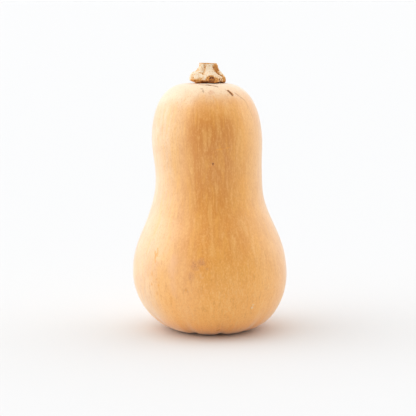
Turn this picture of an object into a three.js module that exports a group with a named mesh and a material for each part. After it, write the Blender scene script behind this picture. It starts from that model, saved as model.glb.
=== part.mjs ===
// A butternut squash as picked: the fruit, standing on its blossom end, and the woody stub of its stem.
// Millimetres, +Z up, with the front towards -Y. The origin is on the surface that the squash stands on,
// under the middle of the bulb.

import * as THREE from "three";

const { MathUtils, Vector2, Vector3 } = THREE;
const { degToRad, lerp, smoothstep } = MathUtils;

// The fruit's outline, from the ground up: the radius and height of each ring where it turns.
const FOOT_RADIUS = 24; // the outer edge of the flat ring that it stands on
const BULB_RADIUS = 60.5;
const BULB_HEIGHT = 44.5;
const WAIST_RADIUS = 41.4;
const WAIST_HEIGHT = 119;
const NECK_RADIUS = 43;
const NECK_HEIGHT = 148;
const CROWN_RADIUS = 14;
const CROWN_HEIGHT = 192.5;

// The middle of the rings, as [height, x, y]: the fruit grew a little crooked and leans back.
const SPINE = [
  [0, 2, 0],
  [BULB_HEIGHT, 0, 0],
  [82, -0.2, 0.1],
  [99, -0.8, 0.4],
  [WAIST_HEIGHT, -0.8, 0.8],
  [NECK_HEIGHT, -2.2, 1.7],
  [CROWN_HEIGHT, -3, 3],
];
const CROWN_TILT = degToRad(2); // the front of the crown stands higher than its back

// The blossom end: a dimple inside the flat ring, with the corky button of the flower's scar in it.
const DIMPLE_RADIUS = 13.5;
const DIMPLE_DEPTH = 2.4;
const SCAR_RADIUS = 4.2;
const SCAR_RELIEF = 1.1;

// The seat: the shallow hollow in the crown that the stem grows from.
const SEAT_RADIUS = 10.4;
const SEAT_DEPTH = 1;

// Ten shallow furrows run up from the blossom end, soon grow faint, and come back on the shoulders.
const FURROWS = 10;
const FURROW_START = degToRad(-78.5);
const FURROW_DEPTH_AT_FOOT = 1.1;
const FURROW_DEPTH_AT_BULB = 0.2;
const FURROW_FADE_HEIGHT = 26;
const FURROW_DEPTH_AT_CROWN = 0.35;

// The stem: a hard stalk with five ridges, cut across. Its foot flares into five knuckles over the crown, and
// a chip is off the rim of the cut.
const STEM_GAP = 0.3; // between the root and the bottom of the seat
const STEM_OFFSET = 0.8; // from the middle of the crown, towards +X
const ROOT_RADIUS = 9;
const LIP_HEIGHT = 0.6; // the flare's underside, over the crown
const FLARE_RADIUS = 14.2;
const FLARE_HEIGHT = 3.1; // its widest ring, over the crown
const CUT_RADIUS = 7.2;
const STEM_HEIGHT = 15.5; // over the crown
const FLARE_SLOPE = [-0.045, 0]; // the flare lies lower on the right
const CUT_SLOPE = [-0.025, -0.015]; // the cut falls a little to the right and to the back
const STALK_LEAN = 0.8; // how far the cut stands over towards +X from the flare
const CHIP_ANGLE = degToRad(-20); // on the right
const CHIP_SLANT = degToRad(45); // how far the chip's face looks up
const CHIP_REACH = 15.2; // from the middle of the stem's foot to the plane of that face
const PITH_RADIUS = 1.4;
const PITH_DEPTH = 1.2;
const RIDGES = 5;
const RIDGE_START = degToRad(-68);
const NOTCH_DEPTH_AT_LIP = 0.7;
const NOTCH_DEPTH_AT_NECK = 1.9; // halfway up
const NOTCH_DEPTH_AT_CUT = 0.9;
const KNUCKLE_RELIEF = 0.4;
const KNUCKLE_HEIGHT = 3.2;
const KNUCKLE_RADIUS = 3;

const FRUIT_SEGMENTS = 80;
const STEM_SEGMENTS = 60;

const point = (radius, height) => new Vector2(radius, height);

const spine = new THREE.CubicInterpolant(
  SPINE.map(([height]) => height),
  SPINE.flatMap(([, x, y]) => [x, y]),
  2,
);

// A stretch of outline between two rings that leaves one and meets the other as its two handles say.
function bend(from, leave, meet, to) {
  return new THREE.CubicBezierCurve(from, from.clone().add(leave), to.clone().add(meet), to);
}

// The points of curves that join end to end, each curve given with its number of steps.
function outline(...stretches) {
  const points = stretches.flatMap(([curve, steps]) => curve.getPoints(steps).slice(1));
  return [stretches[0][0].getPoint(0), ...points];
}

// Turns an outline round Z and moves each point out along its normal by relief(angle, height, radius).
function turned(points, segments, relief) {
  const geometry = new THREE.LatheGeometry(points, segments).rotateX(Math.PI / 2);
  const position = geometry.getAttribute("position");
  for (let i = 0; i < position.count; i++) {
    const step = i % points.length;
    const { x: radius, y: height } = points[step];
    const before = points[Math.max(step - 1, 0)];
    const after = points[Math.min(step + 1, points.length - 1)];
    const normal = point(after.y - before.y, before.x - after.x).normalize();
    const angle = Math.atan2(position.getY(i), position.getX(i));
    const out = radius > 0 ? relief(angle, height, radius) : 0;
    const reach = radius + out * normal.x;
    position.setXYZ(i, reach * Math.cos(angle), reach * Math.sin(angle), height + out * normal.y);
  }
  return geometry;
}

// A wave round a ring that is 1 at `start` and at each of `count` even steps from it, and 0 between them.
function wave(angle, count, start, sharpness) {
  return ((1 + Math.cos(count * (angle - start))) / 2) ** sharpness;
}

function fruitOutline() {
  const seatFloor = CROWN_HEIGHT - SEAT_DEPTH;
  const scarMiddle = point(0, DIMPLE_DEPTH - SCAR_RELIEF);
  const scarEdge = point(SCAR_RADIUS, DIMPLE_DEPTH);
  const scarShoulder = point(-0.2 * SCAR_RADIUS, -0.6 * SCAR_RELIEF);
  const dimpleEdge = point(DIMPLE_RADIUS, 0);
  const foot = point(FOOT_RADIUS, 0);
  const bulb = point(BULB_RADIUS, BULB_HEIGHT);
  const waist = point(WAIST_RADIUS, WAIST_HEIGHT);
  const neck = point(NECK_RADIUS, NECK_HEIGHT);
  const crown = point(CROWN_RADIUS, CROWN_HEIGHT);
  const seatEdge = point(SEAT_RADIUS, seatFloor);
  const seatMiddle = point(0, seatFloor);
  const footToBulb = BULB_RADIUS - FOOT_RADIUS;
  const bulbToWaist = WAIST_HEIGHT - BULB_HEIGHT;
  const waistToNeck = NECK_HEIGHT - WAIST_HEIGHT;
  const neckToCrown = CROWN_HEIGHT - NECK_HEIGHT;
  const shoulder = NECK_RADIUS - CROWN_RADIUS;
  const rim = CROWN_RADIUS - SEAT_RADIUS;
  return outline(
    [bend(scarMiddle, point(0.7 * SCAR_RADIUS, 0), scarShoulder, scarEdge), 3],
    [bend(scarEdge, point(1.5, 0.2), point(-4, 0), dimpleEdge), 4],
    [new THREE.LineCurve(dimpleEdge, foot), 2],
    [bend(foot, point(0.545 * footToBulb, 0), point(0, -0.54 * BULB_HEIGHT), bulb), 12],
    [bend(bulb, point(0, 0.42 * bulbToWaist), point(0, -0.43 * bulbToWaist), waist), 10],
    [bend(waist, point(0, 0.44 * waistToNeck), point(0, -0.42 * waistToNeck), neck), 4],
    [bend(neck, point(0, 0.46 * neckToCrown), point(0.78 * shoulder, 0), crown), 11],
    [bend(crown, point(-0.5 * rim, 0), point(0.5 * rim, 0), seatEdge), 3],
    [new THREE.LineCurve(seatEdge, seatMiddle), 1],
  );
}

// How deep the furrows are on the underside and bulb, and again from the neck to the crown.
function furrowDepth(height, radius) {
  if (height < BULB_HEIGHT && radius < DIMPLE_RADIUS) {
    return FURROW_DEPTH_AT_FOOT * (radius / DIMPLE_RADIUS) ** 2;
  }
  const lower = lerp(FURROW_DEPTH_AT_FOOT, FURROW_DEPTH_AT_BULB, smoothstep(height, 0, FURROW_FADE_HEIGHT));
  const upper = FURROW_DEPTH_AT_CROWN * smoothstep(height, NECK_HEIGHT, CROWN_HEIGHT);
  const shoulder = smoothstep(radius, CROWN_RADIUS + 4, NECK_RADIUS - 4);
  return lower * (1 - smoothstep(height, BULB_HEIGHT, WAIST_HEIGHT)) + upper * shoulder;
}

// The slow, uneven swelling of the wall, which dies out towards the foot and the crown.
function swelling(angle, height) {
  const share = height / CROWN_HEIGHT;
  const ovalness = 0.6 * Math.sin(2 * angle) * Math.cos(5 * share + 0.4);
  const corners = 0.4 * Math.sin(3 * angle) * Math.cos(9 * share);
  return (ovalness + corners) * smoothstep(share, 0.03, 0.25) * (1 - smoothstep(share, 0.8, 0.98));
}

function fruit() {
  const relief = (angle, height, radius) => {
    const furrow = Math.max(0, wave(angle, FURROWS, FURROW_START, 4) - 0.07);
    return swelling(angle, height) - furrow * furrowDepth(height, radius);
  };
  const geometry = turned(fruitOutline(), FRUIT_SEGMENTS, relief);
  const position = geometry.getAttribute("position");
  for (let i = 0; i < position.count; i++) {
    const height = Math.max(0, position.getZ(i));
    const tilt = Math.tan(CROWN_TILT) * smoothstep(height, NECK_HEIGHT, CROWN_HEIGHT - SEAT_DEPTH);
    const [x, y] = spine.evaluate(height);
    position.setXYZ(i, position.getX(i) + x, position.getY(i) + y, height - tilt * position.getY(i));
  }
  const rind = new THREE.MeshStandardMaterial({ color: 0xe3a565, roughness: 0.5, metalness: 0 });
  const mesh = new THREE.Mesh(geometry, rind);
  mesh.name = "fruit";
  return mesh;
}

// Heights in the stem's outline are over the crown, so the root starts below zero.
function stemOutline() {
  const rootFloor = STEM_GAP - SEAT_DEPTH;
  const root = point(ROOT_RADIUS, rootFloor);
  const lip = point(ROOT_RADIUS + 0.6, LIP_HEIGHT);
  const flare = point(FLARE_RADIUS, FLARE_HEIGHT);
  const cutEdge = point(CUT_RADIUS, STEM_HEIGHT - 0.3);
  const cutFace = point(CUT_RADIUS - 0.5, STEM_HEIGHT);
  const pithEdge = point(PITH_RADIUS, STEM_HEIGHT - 0.5);
  const pithFloor = point(0, STEM_HEIGHT - PITH_DEPTH);
  return outline(
    [new THREE.LineCurve(point(0, rootFloor), root), 1],
    [new THREE.LineCurve(root, lip), 1],
    [bend(lip, point(4.4, 0.1), point(0, -2.2), flare), 5],
    [bend(flare, point(0, 4), point(1, -6.4), cutEdge), 11],
    [new THREE.LineCurve(cutEdge, cutFace), 1],
    [new THREE.LineCurve(cutFace, pithEdge), 2],
    [new THREE.LineCurve(pithEdge, pithFloor), 1],
  );
}

function stem() {
  const relief = (angle, height, radius) => {
    if (radius < CUT_RADIUS - 0.1 || height < LIP_HEIGHT) return 0;
    const outside = height > FLARE_HEIGHT ? 1 : smoothstep(radius, ROOT_RADIUS, FLARE_RADIUS - 2);
    const rise = smoothstep(height, FLARE_HEIGHT, STEM_HEIGHT);
    const neck = Math.sin(Math.PI * rise) ** 2;
    const depth = lerp(lerp(NOTCH_DEPTH_AT_LIP, NOTCH_DEPTH_AT_CUT, rise), NOTCH_DEPTH_AT_NECK, neck);
    const notch = wave(angle, RIDGES, RIDGE_START + Math.PI / RIDGES, 1.3);
    const knuckle = wave(angle, RIDGES, RIDGE_START, 3);
    const level = (height - KNUCKLE_HEIGHT) / KNUCKLE_RADIUS;
    const swell = KNUCKLE_RELIEF * knuckle * Math.exp(-level * level);
    return outside * (swell - notch * depth);
  };
  const geometry = turned(stemOutline(), STEM_SEGMENTS, relief);
  const position = geometry.getAttribute("position");
  const place = new Vector3();
  const chipNormal = new Vector3(Math.cos(CHIP_SLANT), 0, Math.sin(CHIP_SLANT));
  chipNormal.applyAxisAngle(new Vector3(0, 0, 1), CHIP_ANGLE);
  for (let i = 0; i < position.count; i++) {
    place.fromBufferAttribute(position, i);
    const rise = smoothstep(place.z, FLARE_HEIGHT, STEM_HEIGHT);
    const slopeX = lerp(FLARE_SLOPE[0], CUT_SLOPE[0], rise);
    const slopeY = lerp(FLARE_SLOPE[1], CUT_SLOPE[1], rise);
    place.z += (slopeX * place.x + slopeY * place.y) * smoothstep(place.z, 0, LIP_HEIGHT);
    place.x += rise * STALK_LEAN;
    place.addScaledVector(chipNormal, -Math.max(0, place.dot(chipNormal) - CHIP_REACH));
    position.setXYZ(i, place.x, place.y, place.z);
  }
  const cork = new THREE.MeshStandardMaterial({ color: 0xd9b98c, roughness: 0.8, metalness: 0 });
  const mesh = new THREE.Mesh(geometry, cork);
  const [x, y] = spine.evaluate(CROWN_HEIGHT);
  mesh.name = "stem";
  mesh.position.set(x + STEM_OFFSET, y, CROWN_HEIGHT);
  mesh.rotation.x = -CROWN_TILT;
  return mesh;
}

const squash = new THREE.Group();
squash.add(fruit(), stem());

export default squash;
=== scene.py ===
import math

import bpy
from mathutils import Matrix, Vector, noise


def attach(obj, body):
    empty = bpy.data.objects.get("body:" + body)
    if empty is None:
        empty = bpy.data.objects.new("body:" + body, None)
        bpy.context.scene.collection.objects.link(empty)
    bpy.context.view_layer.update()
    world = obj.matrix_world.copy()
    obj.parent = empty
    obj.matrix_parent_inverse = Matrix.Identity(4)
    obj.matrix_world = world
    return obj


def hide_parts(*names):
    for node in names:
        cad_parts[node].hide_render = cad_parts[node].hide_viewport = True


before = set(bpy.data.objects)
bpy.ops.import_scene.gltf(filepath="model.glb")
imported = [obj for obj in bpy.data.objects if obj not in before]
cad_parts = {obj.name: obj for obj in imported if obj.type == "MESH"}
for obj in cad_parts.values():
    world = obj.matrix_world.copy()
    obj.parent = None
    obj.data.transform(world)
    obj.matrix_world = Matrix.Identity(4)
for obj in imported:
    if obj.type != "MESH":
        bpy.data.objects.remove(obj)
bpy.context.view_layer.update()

# The fruit: rind and flesh in one body, grown round from the blossom end that it stands on, up through the
# bulb and the waist to the crown. It is waisted and a little crooked, with ten shallow furrows that start
# in the dimple of the blossom scar. The rind is hard, smooth and waxy, fine-grained from end to end.

MM = 0.001

# The radius and height of each ring where the outline turns. It stands on the flat ring inside the foot.
FOOT_RADIUS = 24 * MM
BULB_RADIUS = 60.5 * MM
BULB_HEIGHT = 44.5 * MM
WAIST_RADIUS = 41.4 * MM
WAIST_HEIGHT = 119 * MM
NECK_RADIUS = 43 * MM
NECK_HEIGHT = 148 * MM
CROWN_RADIUS = 14 * MM
CROWN_HEIGHT = 192.5 * MM
CROWN_TILT = math.radians(2)

# The dimple of the blossom end with the scar in it, and the seat that the stem grows from.
DIMPLE_RADIUS = 13.5 * MM
DIMPLE_DEPTH = 2.4 * MM
SCAR_RADIUS = 4.2 * MM
SCAR_RELIEF = 1.1 * MM
SEAT_RADIUS = 10.4 * MM
SEAT_DEPTH = 1 * MM

# The furrows soon grow faint on the bulb, and come back on the shoulders.
FURROWS = 10
FURROW_START = math.radians(-78.5)
FURROW_SHARPNESS = 4
FURROW_EDGE = 0.07
FURROW_DEPTH_AT_FOOT = 1.1 * MM
FURROW_DEPTH_AT_BULB = 0.2 * MM
FURROW_FADE_HEIGHT = 26 * MM
FURROW_DEPTH_AT_CROWN = 0.35 * MM

# How far the grown wall is out of round, and its faint ribs and hollows.
OVALNESS = 0.6 * MM
CORNERS = 0.4 * MM
RIB_RELIEF = 0.16 * MM
HOLLOW_RELIEF = 0.14 * MM
FRUIT_SEGMENTS = 80

# The middle of the rings, as (height, x, y). The fruit is a little crooked, and leans to the left and back.
SPINE = [
    (0, 2 * MM, 0),
    (BULB_HEIGHT, 0, 0),
    (82 * MM, -0.2 * MM, 0.1 * MM),
    (99 * MM, -0.8 * MM, 0.4 * MM),
    (WAIST_HEIGHT, -0.8 * MM, 0.8 * MM),
    (NECK_HEIGHT, -2.2 * MM, 1.7 * MM),
    (CROWN_HEIGHT, -3 * MM, 3 * MM),
]


def smoothstep(value, low, high):
    share = min(max((value - low) / (high - low), 0), 1)
    return share * share * (3 - 2 * share)


def lerp(low, high, share):
    return low + (high - low) * share


def wave(angle, count, start, sharpness):
    """1 at start and at each of count even steps round from it, and 0 halfway between them."""
    return ((1 + math.cos(count * (angle - start))) / 2) ** sharpness


def grain(angle, height, around, along):
    """Noise from -1 to 1 with about 6 swells round for each unit of around, and so many a metre along."""
    return noise.noise(Vector((around * math.cos(angle), around * math.sin(angle), along * height)))


def bend(start, leave, meet, end, steps):
    """The (radius, height) points of a bend of the outline after its start. Its handles are offsets."""
    first_handle = (start[0] + leave[0], start[1] + leave[1])
    last_handle = (end[0] + meet[0], end[1] + meet[1])
    knots = (start, first_handle, last_handle, end)
    points = []
    for step in range(1, steps + 1):
        t = step / steps
        weights = ((1 - t) ** 3, 3 * t * (1 - t) ** 2, 3 * t * t * (1 - t), t ** 3)
        points.append(tuple(sum(w * knot[axis] for w, knot in zip(weights, knots)) for axis in (0, 1)))
    return points


def turn(name, outline, segments, levels):
    """A round body, extruded ring by ring up its outline, capped at both ends and smoothed."""
    bpy.ops.object.select_all(action="DESELECT")
    radius, height = outline[0]
    bpy.ops.mesh.primitive_circle_add(vertices=segments, radius=radius, location=(0, 0, 0))
    piece = bpy.context.object
    piece.name = name
    bpy.ops.object.mode_set(mode="EDIT")
    bpy.ops.transform.translate(value=(0, 0, height))
    bpy.ops.mesh.edge_face_add()
    bpy.ops.mesh.poke()
    bpy.ops.mesh.select_all(action="DESELECT")
    bpy.ops.mesh.select_mode(type="EDGE")
    bpy.ops.mesh.select_non_manifold()
    for next_radius, next_height in outline[1:]:
        bpy.ops.mesh.extrude_edges_move(
            TRANSFORM_OT_translate={"value": (0, 0, next_height - height)},
        )
        growth = next_radius / radius
        bpy.ops.transform.resize(value=(growth, growth, 1), center_override=(0, 0, next_height))
        radius, height = next_radius, next_height
    bpy.ops.mesh.edge_face_add()
    bpy.ops.mesh.poke()
    bpy.ops.mesh.select_all(action="SELECT")
    bpy.ops.mesh.normals_make_consistent(inside=False)
    bpy.ops.object.mode_set(mode="OBJECT")
    smoother = piece.modifiers.new("smooth skin", "SUBSURF")
    smoother.levels = smoother.render_levels = levels
    bpy.ops.object.modifier_apply(modifier=smoother.name)
    bpy.ops.object.shade_smooth()
    return piece


def move_out(piece, relief):
    """Moves each point along its normal by relief(angle, height, radius)."""
    normals = [vertex.normal.copy() for vertex in piece.data.vertices]
    for vertex, normal in zip(piece.data.vertices, normals):
        angle = math.atan2(vertex.co.y, vertex.co.x)
        vertex.co += normal * relief(angle, vertex.co.z, math.hypot(vertex.co.x, vertex.co.y))


def spine_at(height):
    """The middle of the ring at a height, on a smooth curve through SPINE."""
    height = min(max(height, SPINE[0][0]), SPINE[-1][0])
    i = next(i for i in range(len(SPINE) - 1) if height <= SPINE[i + 1][0])

    def slope(j, axis):
        low, high = SPINE[max(j - 1, 0)], SPINE[min(j + 1, len(SPINE) - 1)]
        return (high[axis] - low[axis]) / (high[0] - low[0])

    low, high = SPINE[i], SPINE[i + 1]
    span = high[0] - low[0]
    t = (height - low[0]) / span
    place = []
    for axis in (1, 2):
        value = (2 * t ** 3 - 3 * t * t + 1) * low[axis] + (3 * t * t - 2 * t ** 3) * high[axis]
        value += ((t ** 3 - 2 * t * t + t) * slope(i, axis) + (t ** 3 - t * t) * slope(i + 1, axis)) * span
        place.append(value)
    return place


def fruit_outline():
    """The (radius, height) points of the wall, from the middle of the scar up to the middle of the seat."""
    scar_edge = (SCAR_RADIUS, DIMPLE_DEPTH)
    dimple_edge = (DIMPLE_RADIUS, 0)
    foot = (FOOT_RADIUS, 0)
    bulb = (BULB_RADIUS, BULB_HEIGHT)
    waist = (WAIST_RADIUS, WAIST_HEIGHT)
    neck = (NECK_RADIUS, NECK_HEIGHT)
    crown = (CROWN_RADIUS, CROWN_HEIGHT)
    seat_edge = (SEAT_RADIUS, CROWN_HEIGHT - SEAT_DEPTH)
    spread = BULB_RADIUS - FOOT_RADIUS
    to_waist = WAIST_HEIGHT - BULB_HEIGHT
    to_neck = NECK_HEIGHT - WAIST_HEIGHT
    to_crown = CROWN_HEIGHT - NECK_HEIGHT
    shoulder = NECK_RADIUS - CROWN_RADIUS
    rim = CROWN_RADIUS - SEAT_RADIUS
    return [
        (0.35 * SCAR_RADIUS, DIMPLE_DEPTH - SCAR_RELIEF),
        (0.7 * SCAR_RADIUS, DIMPLE_DEPTH - 0.8 * SCAR_RELIEF),
        scar_edge,
        *bend(scar_edge, (1.5 * MM, 0.2 * MM), (-4 * MM, 0), dimple_edge, 4),
        (0.5 * (DIMPLE_RADIUS + FOOT_RADIUS), 0),
        foot,
        *bend(foot, (0.545 * spread, 0), (0, -0.54 * BULB_HEIGHT), bulb, 15),
        *bend(bulb, (0, 0.42 * to_waist), (0, -0.43 * to_waist), waist, 13),
        *bend(waist, (0, 0.44 * to_neck), (0, -0.42 * to_neck), neck, 6),
        *bend(neck, (0, 0.46 * to_crown), (0.78 * shoulder, 0), crown, 14),
        *bend(crown, (-0.5 * rim, 0), (0.5 * rim, 0), seat_edge, 3),
        (0.5 * SEAT_RADIUS, CROWN_HEIGHT - SEAT_DEPTH),
    ]


def furrow_depth(height, radius):
    """Deepest round the foot, running out up the bulb, with a little again over the shoulders."""
    if height < BULB_HEIGHT and radius < DIMPLE_RADIUS:
        return FURROW_DEPTH_AT_FOOT * (radius / DIMPLE_RADIUS) ** 2
    fade = smoothstep(height, 0, FURROW_FADE_HEIGHT)
    lower = lerp(FURROW_DEPTH_AT_FOOT, FURROW_DEPTH_AT_BULB, fade)
    upper = FURROW_DEPTH_AT_CROWN * smoothstep(height, NECK_HEIGHT, CROWN_HEIGHT)
    shoulder = smoothstep(radius, CROWN_RADIUS + 4 * MM, NECK_RADIUS - 4 * MM)
    return lower * (1 - smoothstep(height, BULB_HEIGHT, WAIST_HEIGHT)) + upper * shoulder


def swelling(angle, height):
    """How far the wall is out of round, which changes up the fruit and is none at its foot and crown."""
    share = height / CROWN_HEIGHT
    ovalness = OVALNESS * math.sin(2 * angle) * math.cos(5 * share + 0.4)
    corners = CORNERS * math.sin(3 * angle) * math.cos(9 * share)
    return (ovalness + corners) * smoothstep(share, 0.03, 0.25) * (1 - smoothstep(share, 0.8, 0.98))


def undulation(angle, height):
    """The faint ribs and hollows of a grown wall, which leave the foot and the seat alone."""
    ribs = RIB_RELIEF * grain(angle, height, 2.6, 9)
    hollows = HOLLOW_RELIEF * grain(angle, height, 4, 70)
    return (ribs + hollows) * smoothstep(height, 1 * MM, 12 * MM)


def fruit_relief(angle, height, radius):
    """How far the wall swells out, less the furrows, which lie at the tops of the waves alone."""
    furrow = max(0, wave(angle, FURROWS, FURROW_START, FURROW_SHARPNESS) - FURROW_EDGE)
    return swelling(angle, height) + undulation(angle, height) - furrow * furrow_depth(height, radius)


fruit = turn("squash_fruit", fruit_outline(), FRUIT_SEGMENTS, 2)
move_out(fruit, fruit_relief)

# Each ring is moved to its place on the crooked middle, and the crown is tipped back.
for vertex in fruit.data.vertices:
    height = max(0, vertex.co.z)
    tilt = math.tan(CROWN_TILT) * smoothstep(height, NECK_HEIGHT, CROWN_HEIGHT - SEAT_DEPTH)
    x, y = spine_at(height)
    vertex.co = (vertex.co.x + x, vertex.co.y + y, height - tilt * vertex.co.y)

# The wounds that the growing rind healed over, in millimetres: from one place to another, the half width and
# the depth, and how brown each has healed. The skin is lipped up to WOUND_REACH from the middle of a wound.
WOUND_REACH = 2.2 * MM
WOUNDS = [
    ((13.6, -21.5, 188.1), (17.1, -22.9, 184.8), 0.8, 0.75, 1),
    ((-8.0, -16.8, 192.4), (-4.5, -17.9, 192.2), 0.5, 0.3, 0.7),
    ((-4.5, -17.9, 192.2), (0.5, -19, 191.9), 0.75, 0.5, 1),
    ((0.5, -19, 191.9), (6, -20, 191.1), 0.5, 0.35, 0.7),
    ((2.3, -40.7, 134.6), (2.3, -40.7, 134.1), 0.65, 0.5, 1),
    ((5.2, -42.1, 7.4), (7.4, -42.1, 7.6), 0.5, 0.3, 0.4),
]


def on_rind(x, y, z):
    """The spot on the rind nearest to a point in millimetres."""
    return fruit.closest_point_on_mesh((x * MM, y * MM, z * MM))[1]


CUTS = [(on_rind(*start), on_rind(*end), width * MM, depth * MM) for start, end, width, depth, _ in WOUNDS]


def from_line(place, start, end):
    """The distance of a place from the line between two others."""
    run = end - start
    share = min(max((place - start).dot(run) / run.length_squared, 0), 1)
    return (place - start - run * share).length


def near_wounds(place):
    return any(from_line(place, start, end) < WOUND_REACH for start, end, _, _ in CUTS)


# The rind is divided finely round the wounds, and each is sunk as a ragged groove with low lips.
bpy.ops.object.mode_set(mode="EDIT")
bpy.ops.mesh.select_all(action="DESELECT")
bpy.ops.object.mode_set(mode="OBJECT")
for face in fruit.data.polygons:
    face.select = near_wounds(face.center)
bpy.ops.object.mode_set(mode="EDIT")
bpy.ops.mesh.select_mode(type="FACE")
bpy.ops.mesh.subdivide(number_cuts=3, smoothness=0)
bpy.ops.object.mode_set(mode="OBJECT")
normals = [vertex.normal.copy() for vertex in fruit.data.vertices]
for vertex, normal in zip(fruit.data.vertices, normals):
    if near_wounds(vertex.co):
        for start, end, width, depth in CUTS:
            ragged = width * (1 + 0.5 * noise.noise(vertex.co / (0.9 * MM)))
            share = from_line(vertex.co, start, end) / ragged
            lips = 0.3 * math.exp(-((share - 1.7) / 0.5) ** 2)
            vertex.co += normal * depth * (lips - math.exp(-share ** 4))


class Tone:
    """A number, colour or vector that changes over a surface: one socket, with arithmetic on numbers."""

    def __init__(self, finish, socket):
        self.finish = finish
        self.socket = socket

    def also(self, output):
        return Tone(self.finish, self.socket.node.outputs[output])

    def work(self, operation, *values):
        return self.finish.node("ShaderNodeMath", {"operation": operation}, dict(enumerate(values)))

    def __add__(self, other):
        return self.work("ADD", self, other)

    def __sub__(self, other):
        return self.work("SUBTRACT", self, other)

    def __rsub__(self, other):
        return self.work("SUBTRACT", other, self)

    def __mul__(self, other):
        return self.work("MULTIPLY", self, other)

    def __truediv__(self, other):
        return self.work("DIVIDE", self, other)

    def __pow__(self, other):
        return self.work("POWER", self, other)

    __radd__ = __add__
    __rmul__ = __mul__

    def most(self, other):
        return self.work("MAXIMUM", self, other)

    def step(self, low, high):
        """0 up to low and 1 from high, smooth between them. With low above high it falls instead."""
        if low > high:
            return 1 - self.step(high, low)
        settings = {"interpolation_type": "SMOOTHSTEP"}
        return self.finish.node("ShaderNodeMapRange", settings, {0: self, 1: low, 2: high})


class Finish:
    """The nodes of a material or of the studio's air, which read one kind of coordinates."""

    def __init__(self, owner, coordinates):
        owner.use_nodes = True
        self.tree = owner.node_tree
        self.place = self.node("ShaderNodeTexCoord", {}, {}, coordinates)

    def node(self, kind, settings, values, output=0):
        node = self.tree.nodes.new(kind)
        for name, value in settings.items():
            if name == "stops":
                for extra in value[2:]:
                    node.color_ramp.elements.new(extra[0])
                for element, (position, colour) in zip(node.color_ramp.elements, value):
                    element.position, element.color = position, colour
            else:
                setattr(node, name, value)
        for name, value in values.items():
            self.feed(node.inputs[name], value)
        return Tone(self, node.outputs[output])

    def feed(self, socket, value):
        if isinstance(value, Tone):
            self.tree.links.new(value.socket, socket)
        else:
            socket.default_value = value

    def vector(self, operation, values, output="Vector"):
        return self.node("ShaderNodeVectorMath", {"operation": operation}, values, output)

    def lay(self, colour, layers):
        """The colour, with each of the layers, a share and another colour, laid over it in turn."""
        for share, over in layers:
            # A Mix node's colours are its sockets 6 and 7, and output 2.
            values = {0: share, 6: colour, 7: over}
            colour = self.node("ShaderNodeMix", {"data_type": "RGBA"}, values, 2)
        return colour

    def noise(self, place, scale, detail=2, roughness=0.5):
        values = {"Vector": place, "Scale": scale, "Detail": detail, "Roughness": roughness}
        return self.node("ShaderNodeTexNoise", {}, values)

    def stretched(self, place, x, y, z):
        return self.vector("MULTIPLY", {0: place, 1: (x, y, z)})

    def gap(self, place, start, end, taper):
        """The distance of a place from a line, with the taper added towards its ends, or from a dot."""
        if (end - start).length < 0.1 * MM:
            return self.vector("DISTANCE", {0: place, 1: start}, "Value")
        run = end - start
        out = self.vector("SUBTRACT", {0: place, 1: start})
        share = self.vector("DOT_PRODUCT", {0: out, 1: run / run.length_squared}, "Value")
        share = self.node("ShaderNodeClamp", {}, {0: share})
        reached = self.vector("SCALE", {0: run, "Scale": share})
        from_middle = share * 2 - 1
        return self.vector("DISTANCE", {0: out, 1: reached}, "Value") + from_middle * from_middle * taper

    def marks(self, place, lines, blur):
        """1 on any of the lines, each (start, end, half width, strength), tapered and with soft edges."""
        shown = None
        for start, end, half_width, strength in lines:
            taper = 0.5 * half_width
            outer, inner = (1.2 + blur) * half_width, (1.2 - blur) * half_width
            line = self.gap(place, start, end, taper).step(outer, inner) * strength
            shown = line if shown is None else shown.most(line)
        return shown


ORANGE = (0.88, 0.35, 0.020, 1)
DEEP_ORANGE = (0.66, 0.22, 0.004, 1)
BRIGHT_ORANGE = (1.0, 0.45, 0.06, 1)
FLAME = (1.0, 0.38, 0.02, 1)
GOLD = (0.94, 0.47, 0.055, 1)
PEACH = (0.93, 0.49, 0.11, 1)
# A pale peach, laid on mostly as painted highlight of the soft boxes on the flanks and shoulders.
PALE_HIGHLIGHT_PEACH = (0.88, 0.645, 0.40, 1)
GRAIN = (0.98, 0.57, 0.18, 1)
CREAM = (0.87, 0.70, 0.47, 1)
FRECKLE = (0.50, 0.16, 0.01, 1)
LILAC = (0.72, 0.29, 0.10, 1)
CHALK = (0.90, 0.66, 0.40, 1)
PINK = (0.92, 0.50, 0.25, 1)
RUSSET = (0.84, 0.32, 0.0, 1)
CORK = (0.30, 0.09, 0.005, 1)

rind = Finish(bpy.data.materials.new("squash_rind"), "Object")
x = rind.node("ShaderNodeSeparateXYZ", {}, {0: rind.place}, "X")
y = x.also("Y")
z = x.also("Z")

# Where a spot is on the leaning fruit: up is in millimetres, side runs from -1 at the left to 1 at the
# right, and front is 1 just to the right of the middle of the front.
up = z / MM
across = x - z * (SPINE[-1][1] / CROWN_HEIGHT)
away = y - z * (SPINE[-1][2] / CROWN_HEIGHT)
reach = (across * across + away * away + MM * MM) ** 0.5
side = across / reach
front = side * 0.12 - away / reach


def meridians(per_metre):
    """Coordinates that run round the fruit and up it, for streaks that follow its length."""
    return rind.node("ShaderNodeCombineXYZ", {}, {0: side, 1: away / reach, 2: z * per_metre})


# The grain of the rind, from broad bands and streaks up the fruit to fine threads and beads.
bands = rind.noise(meridians(4), 4, 2)
streaks = rind.noise(meridians(4), 12, 1.5)
threads = rind.noise(meridians(5), 27, 2)
beads = rind.noise(rind.stretched(rind.place, 1, 1, 0.6), 1000, 1)
clouds = rind.noise(rind.place, 45, 3, 0.6)
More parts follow.
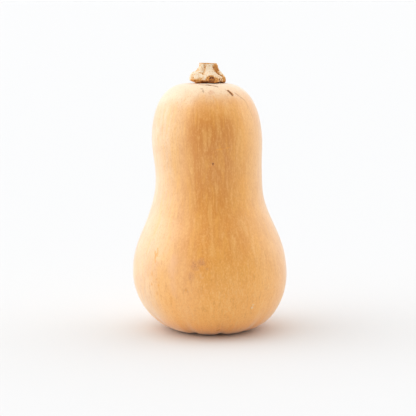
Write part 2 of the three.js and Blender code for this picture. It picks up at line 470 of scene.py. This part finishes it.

# Where the colours lie: painted shade up the front, painted highlight on the flanks and shoulders, painted
# floor light on the lower bulb, a paler crown with painted highlight, and the brown scar in the blossom end
# with a stain round it.
# Shade painted up the front, where the lights at the sides leave it darker.
front_shade = front.step(0.8, 1) * (up.step(60, 160) * 0.6 + 0.35) * up.step(180, 160)
# The shoulders are paler near the crown, with painted highlight of the left soft box over them; on the left
# shoulder it is painted cream lower down.
pale_and_highlit_shoulders = up.step(165, 190) * side.step(1, -0.5)
left_shoulder_highlight = up.step(120, 165) * side.step(-0.25, -0.7)
lower_bulb = up.step(90, 30)
# Light bounced from the floor is painted brighter on the lower bulb, away from its left.
bulb_bounce_light = up.step(75, 15) * side.step(-0.9, -0.45)
# The crown is paler round the stem, and painted highlight from above takes the cream further down on the
# left.
crown = (up + clouds * 20 + side.step(0, -1) * 6).step(186, 203)
aside = x - SPINE[0][1]
from_scar = (aside * aside + y * y) ** 0.5 / MM + clouds * 10 + beads * 4
blossom_end = from_scar.step(44, 12) * up.step(15, 8)
scar = from_scar.step(13.5, 9.5) * up.step(15, 8)

colour = rind.lay(ORANGE, [
    # Painted shade up the front.
    (front_shade, DEEP_ORANGE),
    # Painted highlight of the soft boxes: broad on the left flank, with a gold band and a pale edge on the
    # right.
    (side.step(-0.1, -1) * 0.9, PALE_HIGHLIGHT_PEACH),
    (side.step(0.3, 0.7) * 0.3, GOLD),
    (side.step(0.6, 1) * 0.4, PALE_HIGHLIGHT_PEACH),
    # Paler shoulders with painted highlight over them, and more painted highlight on the left shoulder.
    (pale_and_highlit_shoulders * 0.5, PALE_HIGHLIGHT_PEACH),
    (left_shoulder_highlight * 0.28, CREAM),
    (clouds.step(0.6, 0.4) * 0.25, DEEP_ORANGE),
    (bands.step(0.45, 0.7) * 0.3, PEACH),
    (streaks.step(0.5, 0.7) * 0.4, PEACH),
    (streaks.step(0.5, 0.3) * 0.3, GOLD),
    # Painted floor light: brighter on the lower bulb, and a redder band over the lowest 18 mm.
    (bulb_bounce_light * 0.85, BRIGHT_ORANGE),
    (up.step(18, 6) * 0.7, FLAME),
    (threads.step(0.52, 0.72) * (0.25 + lower_bulb * 0.1), GRAIN),
    (threads.step(0.45, 0.28) * (0.22 + lower_bulb * 0.08), DEEP_ORANGE),
    # Paler crown: partly the rind's own colour, partly painted highlight.
    (crown * 0.85, CREAM),
    # Painted shade: darker brown over the lowest 3 mm, where the fruit meets the floor.
    (up.step(3, 0) * 0.3, FRECKLE),
    (beads.step(0.52, 0.72) * (0.04 + streaks * 0.36 + lower_bulb * 0.2), GRAIN),
    (beads.step(0.5, 0.3) * 0.25, DEEP_ORANGE),
    (blossom_end * 0.55, FRECKLE),
    (scar * 0.85, CORK),
])


def lines_on_rind(lines):
    """Marks given in millimetres, put on the rind."""
    return [
        (on_rind(*start), on_rind(*end), half_width * MM, strength)
        for start, end, half_width, strength in lines
    ]


def unsettled(swing, scale, detail, roughness):
    """Places moved about over the swing, so that what is measured from them has a ragged edge."""
    moved = rind.noise(rind.place, scale, detail, roughness).also("Color")
    moved = rind.vector("MULTIPLY_ADD", {0: moved, 1: (swing,) * 3, 2: rind.place})
    return rind.vector("SUBTRACT", {0: moved, 1: (swing / 2,) * 3})


# The marks of a season on the ground, each in millimetres from one place to another, with its half width and
# its strength: pale places, bruises, russet nicks, corky scabs, scratches and chalky specks.
PALINGS = lines_on_rind([
    ((-27.5, -51, 64), (-28.6, -52.6, 50), 3.5, 0.5),
    ((-28.6, -52.6, 50), (-26.3, -53.9, 36), 3.2, 0.4),
    ((-19, -55, 60), (-17, -54, 24), 9, 0.22),
    ((59, -10, 56), (59, -10, 42), 5, 0.5),
    ((-56, 8, 60), (-57, 10, 40), 3.5, 0.4),
    ((40, 41, 66), (42, 42, 44), 3.5, 0.4),
])
BRUISES = lines_on_rind([
    ((-7.5, -57.4, 62.5), (-5, -57.6, 61.5), 2.4, 0.75),
    ((-12, -56.8, 61), (-10.5, -57.8, 57.8), 2.4, 0.65),
    ((-14.5, -57.7, 53), (-14.5, -58, 49.5), 2.2, 0.55),
    ((-2, -58.8, 57.8), (-2, -58.8, 56.8), 1.5, 0.6),
    ((-18.4, -57.4, 41.5), (-17.5, -57.5, 40), 1.5, 0.5),
    ((0.5, -26.6, 187.8), (1.7, -27.3, 187.3), 1.8, 0.6),
    ((38, 44, 52), (33, 47, 46), 3.5, 0.7),
    ((-24, 36, 128), (-22, 37, 121), 2.5, 0.5),
])
RUSSETING = lines_on_rind([
    ((13.6, -21.5, 188.1), (17.1, -22.9, 184.8), 1.5, 0.6),
    ((-39.6, -39.2, 70), (-39.5, -41.9, 64), 0.5, 0.8),
    ((-41.6, -38.4, 67.5), (-41.5, -42, 59), 0.55, 0.9),
    ((-40.9, -40.2, 66), (-40.9, -40.6, 63.5), 0.8, 1),
    ((-44, -41.1, 51.8), (-44, -41.4, 49), 0.6, 0.6),
    ((-44.2, -41, 43), (-44.3, -41, 41.5), 0.7, 0.7),
    ((-40.5, -45, 47.5), (-40.3, -45.2, 46.5), 0.7, 0.6),
    ((-39, -46.2, 43), (-39, -46.2, 42), 0.7, 0.7),
    ((-40, -44.5, 37), (-40.2, -43.7, 34.5), 0.6, 0.6),
    ((-29.4, -51.5, 34.5), (-29.5, -50, 29), 0.9, 0.45),
    ((-33.3, -48.4, 31.6), (-32.5, -47, 27), 0.8, 0.4),
    ((-18.4, -57.4, 41.5), (-18, -57.5, 40.5), 0.7, 0.7),
    ((0.5, -59.2, 37), (0.5, -59.2, 34), 1.0, 0.35),
    ((2.3, -29.7, 184.7), (5.3, -32.6, 180), 0.7, 0.35),
    ((4.5, -40.5, 145.2), (9.8, -39.3, 145.5), 0.4, 0.6),
    ((9.8, -39.3, 145.5), (15.9, -36.8, 146.9), 0.4, 0.5),
    ((-21.9, -41.3, 88.4), (-21.9, -41.3, 88.2), 0.8, 0.6),
    ((27.9, -47.3, 71.4), (27.9, -47.3, 71.2), 0.9, 0.5),
    ((0, -40.7, 132.7), (0, -40.7, 132.6), 0.9, 0.8),
    ((52, 27, 61), (51, 27, 53), 0.6, 0.7),
    ((12, 58, 66), (12.6, 58, 58), 0.6, 0.7),
    ((14.6, 57, 55), (14.8, 57, 50), 0.4, 0.6),
    ((-30, 30, 160), (-31, 30, 152), 0.5, 0.6),
    ((-52, 22, 70), (-53, 22, 64), 0.5, 0.6),
])
CORKING = lines_on_rind([
    *((start, end, width + 0.2, stain) for start, end, width, _, stain in WOUNDS),
    ((13.7, -25.1, 185.6), (13.9, -25.1, 185), 0.5, 0.5),
    ((11.8, -21.4, 188.9), (11.9, -21.5, 188.8), 0.5, 0.5),
    ((-17.5, -8, 192), (-13, -12, 192.6), 0.5, 0.5),
    ((-7, -24, 189.8), (-5.5, -24.4, 189.5), 0.7, 0.6),
    ((-5.3, -25.5, 189), (-4.9, -27.8, 187.2), 0.7, 0.5),
    ((-38.2, -17, 166.4), (-38.2, -17, 165.9), 0.5, 0.6),
    ((24, 33, 149), (24.5, 33, 148.5), 0.6, 0.9),
    ((-33, 48, 40), (-33.4, 48, 39), 0.6, 0.8),
])
SCRATCHES = lines_on_rind([
    ((18.6, -19.4, 186.5), (21.8, -19.2, 184.3), 0.6, 0.7),
    ((21.8, -19.2, 184.3), (26.2, -18, 180.9), 0.45, 0.6),
    ((26.2, -18, 180.9), (29.8, -18.2, 174.7), 0.4, 0.35),
    ((29.8, -18.2, 174.7), (32.5, -18.6, 167.1), 0.4, 0.35),
])
CHALKING = lines_on_rind([
    ((31.7, -46.8, 25.1), (31.5, -46.8, 26), 1.0, 0.6),
    ((32, -46.8, 28), (32, -46.8, 28.1), 0.7, 0.5),
    ((-7.1, -59.1, 53.3), (-7.1, -59.4, 50.8), 0.5, 0.2),
    ((-7.1, -59.4, 50.8), (-4.5, -59.6, 51), 0.5, 0.15),
    ((12.0, -20.6, 189.4), (18.4, -22.6, 184.6), 1.3, 0.3),
])
finely_ragged = unsettled(1.8 * MM, 900, 2, 0.5)
widely_ragged = unsettled(6 * MM, 260, 3, 0.6)
freckles = rind.noise(rind.place, 1300, 2)
bruised = rind.marks(widely_ragged, BRUISES, 0.8)
corked = rind.marks(finely_ragged, CORKING, 0.5)
colour = rind.lay(colour, [
    (rind.marks(widely_ragged, PALINGS, 1), PINK),
    (rind.marks(finely_ragged, CHALKING, 0.5), CHALK),
    (bruised * 0.75, LILAC),
    (bruised * freckles.step(0.5, 0.62) * 0.7, FRECKLE),
    (rind.marks(finely_ragged, SCRATCHES, 0.8), FRECKLE),
    (rind.marks(finely_ragged, RUSSETING, 0.7), RUSSET),
    (corked, CORK),
])

relief = beads * 0.35 + threads * 0.3 + streaks * 0.3 - corked * 0.8
normal = rind.node("ShaderNodeBump", {}, {"Strength": 0.35, "Distance": 0.3 * MM, "Height": relief})
skin = rind.tree.nodes["Principled BSDF"]
rind.feed(skin.inputs["Base Color"], colour)
rind.feed(skin.inputs["Roughness"], 0.38 + beads * 0.08 + corked * 0.3)
rind.feed(skin.inputs["Normal"], normal)
skin.inputs["Specular IOR Level"].default_value = 1
skin.inputs["Sheen Weight"].default_value = 0.5
skin.inputs["Sheen Roughness"].default_value = 0.5
fruit.data.materials.append(bpy.data.materials["squash_rind"])
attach(fruit, "root")
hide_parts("fruit")

# The stem: the dry, corky stub of the stalk that the squash hung from, cut across and left on the fruit. It
# has five ridges, and its foot flares into knuckles that overhang the crown round the seat it grows from. A
# chip is off the rim of the cut. The bark is cream, with gold to brown where it is torn, and painted shade
# browns it where it is overhung.

# STEM_GAP lies between its root and the bottom of the seat, and the heights are over the crown.
STEM_GAP = 0.3 * MM
STEM_OFFSET = 0.8 * MM
ROOT_RADIUS = 9 * MM
LIP_HEIGHT = 0.6 * MM
LIP_WIDTH = 0.6 * MM
FLARE_RADIUS = 14.2 * MM
FLARE_HEIGHT = 3.1 * MM
FLARE_SLOPE = Vector((-0.045, 0, 0))
CUT_RADIUS = 7.2 * MM
CUT_SLOPE = Vector((-0.025, -0.015, 0))
CUT_ROUNDING = 0.3 * MM
CUT_DISH = 0.4 * MM
STEM_HEIGHT = 15.5 * MM
STALK_LEAN = 0.8 * MM
CHIP_ANGLE = math.radians(-20)
CHIP_SLANT = math.radians(45)
CHIP_REACH = 15.2 * MM
PITH_RADIUS = 1.4 * MM
PITH_DEPTH = 1.2 * MM
PITH_EDGE_DEPTH = 0.5 * MM
RAY_RELIEF = 0.22 * MM
RIDGES = 5
RIDGE_START = math.radians(-68)
RIDGE_SHARPNESS = 3
NOTCH_SHARPNESS = 1.3
NOTCH_DEPTH_AT_LIP = 0.7 * MM
NOTCH_DEPTH_AT_NECK = 1.9 * MM
NOTCH_DEPTH_AT_CUT = 0.9 * MM
KNUCKLE_RELIEF = 0.4 * MM
KNUCKLE_HEIGHT = 3.2 * MM
KNUCKLE_RADIUS = 3 * MM
STEM_SEGMENTS = 80

# The bark's fine swells: the relief, and how often they come round the stem and along it, as in grain().
BARK_SWELLS = [
    (0.25 * MM, 3.1, 330),
    (0.2 * MM, 9, 420),
    (0.12 * MM, 21, 900),
]
BARK_FOLDS = 0.25 * MM

# Torn, swollen or stained places of the bark: the angle and height of the middle, the half width in degrees
# and half height, how deep it lies (less than 0 swells), and how brown it is.
PATCHES = [
    (-26, 12.2, 38, 2.8, 0.5, 0.62),
    (-44, 11.0, 15, 1.2, 0.2, 0.7),
    (-30, 14.8, 28, 1.1, 0, 0.42),
    (-76, 3.1, 15, 3.0, -0.5, 0.72),
    (-62, 2.8, 14, 2.4, -0.2, 0.5),
    (-14, 3.2, 17, 3.4, 0, 0.55),
    (-142, 3.4, 10, 1.6, 0.1, 0.3),
    (-115, 3.2, 9, 1.6, 0.1, 0.3),
    (-168, 7.3, 36, 2.8, -0.9, 0),
    (-128, 7.6, 22, 1.6, -0.25, 0),
    (76, 3.4, 22, 2.6, -0.4, 0.5),
    (148, 3.2, 20, 2.4, -0.3, 0.5),
    (40, 12.5, 16, 2.2, 0.3, 0.4),
    (172, 12.2, 16, 2.2, 0.4, 0.45),
]

# Cracks and folds of the bark, and bands of painted shade under the lip, from one (angle, height) to
# another, with their half width, depth and stain.
CRACKS_AND_LIP_SHADE = [
    ((-111, 14.0), (-109, 10.2), 0.8, 0.35, 0.34),
    ((-112, 8.6), (-110, 8.2), 0.5, 0.3, 0.45),
    ((-125, 12), (-125, 10.6), 0.5, 0.2, 0.2),
    ((-175, 10.4), (-138, 9.8), 0.9, 0.5, 0.12),
    ((-53, 12.3), (-50, 11.5), 0.8, 0.4, 1),
    ((-50, 10.6), (-26, 9.8), 0.75, 0.6, 0.95),
    ((-26, 9.8), (-23, 7.6), 0.9, 0.5, 0.75),
    ((-23, 7.6), (-14, 5.6), 0.9, 0.4, 0.64),
    ((-60, 13.6), (-54, 12.6), 0.5, 0.2, 0.5),
    ((-45, 3.8), (-39, 1.3), 0.5, 0.5, 0.9),
    ((-35, 4.2), (-31, 1.2), 0.5, 0.5, 0.9),
    ((-48, 7.2), (-40, 4.8), 0.35, 0.3, 0.3),
    ((-92, 1.6), (-90, 3.6), 0.7, 0.3, 0.6),
    ((-90, 3.6), (-86, 5.2), 0.7, 0.3, 0.6),
    ((-86, 5.2), (-77, 6.1), 0.6, 0.3, 0.6),
    ((-77, 6.1), (-68, 5.7), 0.5, 0.3, 0.5),
    ((-74, 4.1), (-71, 3.9), 1.0, 0.4, 0.92),
    ((-66, 4.4), (-65, 3.8), 0.4, 0.3, 0.5),
    # These rows have no depth: a band round the underside of the lip, partly its own brown and partly
    # painted shade under the overhang, darkest just right of the front.
    ((-151, 1.9), (-113, 1.9), 0.9, 0, 0.62),
    ((-113, 1.9), (-92, 1.6), 0.6, 0.2, 0.72),
    ((-92, 1.5), (-72, 1.4), 0.9, 0, 0.86),
    ((-66, 1.1), (-8, 1.1), 0.6, 0, 0.68),
    ((28, 13.8), (34, 9.5), 0.6, 0.6, 0.5),
    ((64, 10), (70, 5.5), 0.5, 0.7, 0.55),
    ((104, 14), (111, 8), 0.8, 0.7, 0.55),
    ((140, 5), (150, 2), 0.45, 0.6, 0.6),
    ((165, 9.5), (178, 8.6), 0.6, 0.6, 0.8),
    # The same band round the back of the lip: partly its own brown, partly painted shade.
    ((20, 2), (110, 1.9), 0.5, 0, 0.56),
    ((110, 1.9), (170, 1.8), 0.5, 0, 0.66),
]


def stem_outline():
    """The (radius, height) points of the wall, from the root in the seat to the pith in the cut."""
    root = (ROOT_RADIUS, STEM_GAP - SEAT_DEPTH)
    lip = (ROOT_RADIUS + LIP_WIDTH, LIP_HEIGHT)
    flare = (FLARE_RADIUS, FLARE_HEIGHT)
    cut_edge = (CUT_RADIUS, STEM_HEIGHT - CUT_ROUNDING)
    rings = (0.93, 0.85, 0.7, 0.55, 0.4)
    face = [(share * CUT_RADIUS, STEM_HEIGHT - (1 - share) * CUT_DISH) for share in rings]
    return [
        (0.5 * ROOT_RADIUS, root[1]),
        (0.95 * ROOT_RADIUS, root[1]),
        (ROOT_RADIUS, 0.5 * root[1]),
        lip,
        *bend(lip, (4.4 * MM, 0.1 * MM), (0, -2.2 * MM), flare, 8),
        *bend(flare, (0, 4 * MM), (1 * MM, -6.4 * MM), cut_edge, 20),
        *face,
        (PITH_RADIUS, STEM_HEIGHT - PITH_EDGE_DEPTH),
        (0.8 * PITH_RADIUS, STEM_HEIGHT - 0.8 * PITH_DEPTH),
        (0.4 * PITH_RADIUS, STEM_HEIGHT - PITH_DEPTH),
    ]


def over_bark(angle, height, radius, start, end):
    """The distance over the bark from the line between two places, each an angle in degrees and a height."""
    start_out = math.remainder(angle - math.radians(start[0]), math.tau)
    run = Vector((radius * math.radians(end[0] - start[0]), (end[1] - start[1]) * MM))
    here = Vector((radius * start_out, height - start[1] * MM))
    share = min(max(here.dot(run) / max(run.length_squared, 1e-12), 0), 1)
    return (here - run * share).length


def in_patch(angle, height, place):
    """1 in the middle of a patch of the bark, fading to 0 over its ragged edge."""
    middle_angle, middle_height, half_width, half_height = place
    aside = math.remainder(angle - math.radians(middle_angle), math.tau) / math.radians(half_width)
    along = (height / MM - middle_height) / half_height
    out = math.hypot(aside, along) + 0.16 * grain(angle, height, 7, 500)
    return smoothstep(out, 1.15, 0.6)


def on_bark(height, radius):
    """Whether a place is on the outside of the stem, above its root and not on the face of the cut."""
    return height > LIP_HEIGHT and (height < STEM_HEIGHT - 3 * MM or radius > CUT_RADIUS - 0.2 * MM)


def stem_relief(angle, height, radius):
    """The rays of the cut face, and the bark's ridges, knuckles, folds, swellings and cracks."""
    if height < LIP_HEIGHT:
        return 0
    if not on_bark(height, radius):
        rays = RAY_RELIEF * grain(angle, 6 * radius, 5, 90)
        return rays * smoothstep(radius, PITH_RADIUS, 2 * PITH_RADIUS)
    outside = smoothstep(radius, ROOT_RADIUS, FLARE_RADIUS - 2 * MM) if height < FLARE_HEIGHT else 1
    rise = smoothstep(height, FLARE_HEIGHT, STEM_HEIGHT)
    neck = math.sin(math.pi * rise) ** 2
    notch_depth = lerp(lerp(NOTCH_DEPTH_AT_LIP, NOTCH_DEPTH_AT_CUT, rise), NOTCH_DEPTH_AT_NECK, neck)
    level = (height - KNUCKLE_HEIGHT) / KNUCKLE_RADIUS
    ridge = wave(angle, RIDGES, RIDGE_START, RIDGE_SHARPNESS)
    notch = wave(angle, RIDGES, RIDGE_START + math.pi / RIDGES, NOTCH_SHARPNESS)
    relief = KNUCKLE_RELIEF * ridge * math.exp(-level * level) - notch_depth * notch
    for swell, around, along in BARK_SWELLS:
        relief += swell * grain(angle, height, around, along)
    relief -= BARK_FOLDS * max(0, 1 - 6 * abs(grain(angle, height, 6.3, 150)))
    for *place, depth, _ in PATCHES:
        relief -= depth * MM * in_patch(angle, height, place)
    for start, end, half_width, depth, _ in CRACKS_AND_LIP_SHADE:
        gap = over_bark(angle, height, radius, start, end) / (half_width * MM)
        relief -= depth * MM * math.exp(-gap * gap)
    return outside * relief


def shaded_side(angle):
    """1 where shade is painted under the stem's foot, falling to 0 on its lit left."""
    return smoothstep(math.cos(angle), -0.65, -0.3)


def stem_stain_and_shade(angle, height, radius):
    """How brown the wood is, from 0 on clean bark to 1 in a crack, with shade painted under the lip."""
    # The root's wall in the crevice under the lip is painted dark with shade, less so on the left.
    if height < LIP_HEIGHT:
        return lerp(0.6, 0.95, shaded_side(angle))
    if not on_bark(height, radius):
        ring = math.exp(-((radius - 0.62 * CUT_RADIUS) / (0.8 * MM)) ** 2)
        return 0.42 + 0.15 * ring + 0.5 * smoothstep(radius, 2 * PITH_RADIUS, 0.6 * PITH_RADIUS)
    edge = smoothstep(height, STEM_HEIGHT - 0.8 * MM, STEM_HEIGHT - CUT_ROUNDING)
    # Shade is painted under the flare, darker away from the lit left.
    under = smoothstep(height, 1.5 * MM, LIP_HEIGHT)
    stain = max(0.85 * under * shaded_side(angle), 0.5 * edge)
    for *place, _, strength in PATCHES:
        stain = max(stain, strength * in_patch(angle, height, place))
    for start, end, half_width, _, strength in CRACKS_AND_LIP_SHADE:
        gap = over_bark(angle, height, radius, start, end) / (1.15 * half_width * MM)
        stain = max(stain, strength * math.exp(-gap * gap))
    return stain


stem = turn("squash_stem", stem_outline(), STEM_SEGMENTS, 2)
stains_and_shade = [
    stem_stain_and_shade(math.atan2(vertex.co.y, vertex.co.x), vertex.co.z, math.hypot(vertex.co.x, vertex.co.y))
    for vertex in stem.data.vertices
]
# The stain attribute carries the bark's stains together with the shade painted under the lip.
stem.data.attributes.new("stain", "FLOAT", "POINT").data.foreach_set("value", stains_and_shade)
move_out(stem, stem_relief)

# The flare and the cut are sloped, the stalk leans and the chip is cut off. Then the stem goes to its seat.
level_slant = Vector((math.cos(CHIP_ANGLE), math.sin(CHIP_ANGLE), 0)) * math.cos(CHIP_SLANT)
chip_normal = level_slant + Vector((0, 0, math.sin(CHIP_SLANT)))
for vertex in stem.data.vertices:
    rise = smoothstep(vertex.co.z, FLARE_HEIGHT, STEM_HEIGHT)
    drop = vertex.co.dot(FLARE_SLOPE.lerp(CUT_SLOPE, rise))
    vertex.co.z += drop * smoothstep(vertex.co.z, 0, LIP_HEIGHT)
    vertex.co.x += rise * STALK_LEAN
    vertex.co -= max(0, vertex.co.dot(chip_normal) - CHIP_REACH) * chip_normal
x_crown, y_crown = spine_at(CROWN_HEIGHT)
seat = Matrix.Translation((x_crown + STEM_OFFSET, y_crown, CROWN_HEIGHT))
stem.data.transform(seat @ Matrix.Rotation(-CROWN_TILT, 4, "X"))

WOOD_STOPS = [
    (0.0, (0.92, 0.76, 0.56, 1)),
    (0.25, (0.84, 0.57, 0.31, 1)),
    (0.5, (0.72, 0.32, 0.06, 1)),
    (0.75, (0.42, 0.14, 0.025, 1)),
    (1.0, (0.10, 0.03, 0.01, 1)),
]

wood = Finish(bpy.data.materials.new("squash_stem_wood"), "Object")
# The stain carries the bark's stains and the shade painted under the lip.
stain = wood.node("ShaderNodeAttribute", {"attribute_name": "stain"}, {}, "Fac")
fibres = wood.noise(wood.stretched(wood.place, 1, 1, 0.25), 1500, 3, 0.6)
blotches = wood.noise(wood.place, 330, 3, 0.6)
flecks = wood.noise(wood.place, 750, 2, 0.6)
shade = stain + flecks.step(0.5, 0.64) * 0.35 + (fibres - 0.5) * 0.5 + (blotches - 0.5) * 0.35
colour = wood.node("ShaderNodeValToRGB", {"stops": WOOD_STOPS}, {0: shade}, "Color")
bark = wood.tree.nodes["Principled BSDF"]
wood.feed(bark.inputs["Base Color"], colour)
wood.feed(bark.inputs["Roughness"], 0.7 + fibres * 0.2)
relief = fibres + blotches * 0.6 - flecks.step(0.54, 0.72) * 0.6
normal = wood.node("ShaderNodeBump", {}, {"Strength": 0.6, "Distance": 0.3 * MM, "Height": relief})
wood.feed(bark.inputs["Normal"], normal)
stem.data.materials.append(bpy.data.materials["squash_stem_wood"])
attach(stem, "root")
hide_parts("stem")

# The studio floor: a sheet of matt white paper laid flat, with the squash standing loose on it. It is so
# wide that its edge is never seen.

FLOOR_RADIUS = 30
PAPER_WHITE = (0.745, 0.75, 0.755, 1)

bpy.ops.object.select_all(action="DESELECT")
bpy.ops.mesh.primitive_circle_add(vertices=96, radius=FLOOR_RADIUS, fill_type="NGON", location=(0, 0, 0))
floor = bpy.context.object
floor.name = "studio_floor"
paper = Finish(bpy.data.materials.new("white_paper"), "Object")
paper_shader = paper.tree.nodes["Principled BSDF"]
paper_shader.inputs["Base Color"].default_value = PAPER_WHITE
paper_shader.inputs["Roughness"].default_value = 0.9
paper_shader.inputs["Specular IOR Level"].default_value = 0.2
floor.data.materials.append(bpy.data.materials["white_paper"])

# The studio light: a white tent all round, with two wide soft boxes on the left, low and high, one high on
# the right, one behind and one above. Each has its strength, its direction as degrees round from the front
# and degrees up, and how tightly it shines.

TENT = 0.438
SOFT_BOXES = [
    (1.15, -117, 9, 4.15),
    (1.5, -79, 36, 4.3),
    (1.22, 109, 30, 3.5),
    (0.6, 178, 15, 4.85),
    (0.73, 0, 90, 6.5),
]

air = bpy.data.worlds.new("studio_air")
bpy.context.scene.world = air
sky = Finish(air, "Generated")
light = TENT
for strength, compass, elevation, sharpness in SOFT_BOXES:
    turned, raised = math.radians(compass), math.radians(elevation)
    towards = (math.cos(raised) * math.sin(turned), -math.cos(raised) * math.cos(turned), math.sin(raised))
    facing = sky.vector("DOT_PRODUCT", {0: sky.place, 1: towards}, "Value").most(0)
    light = facing ** sharpness * strength + light
background = sky.tree.nodes["Background"]
background.inputs["Color"].default_value = (1, 1, 1, 1)
sky.feed(background.inputs["Strength"], light)

# The camera: it stands 1.2 m straight in front of the squash and a little above it, and looks down by eight
# degrees through a long lens.

CAMERA_LENS = 135.6
CAMERA_PLACE = (-0.00147, -1.2131, 0.2656)
CAMERA_TILT = math.radians(82)

camera_data = bpy.data.cameras.new("camera")
camera_data.lens = CAMERA_LENS
camera = bpy.data.objects.new("camera", camera_data)
bpy.context.scene.collection.objects.link(camera)
camera.location = CAMERA_PLACE
camera.rotation_euler = (CAMERA_TILT, 0, 0)
bpy.context.scene.camera = camera
bpy.context.scene.view_settings.view_transform = "Standard"
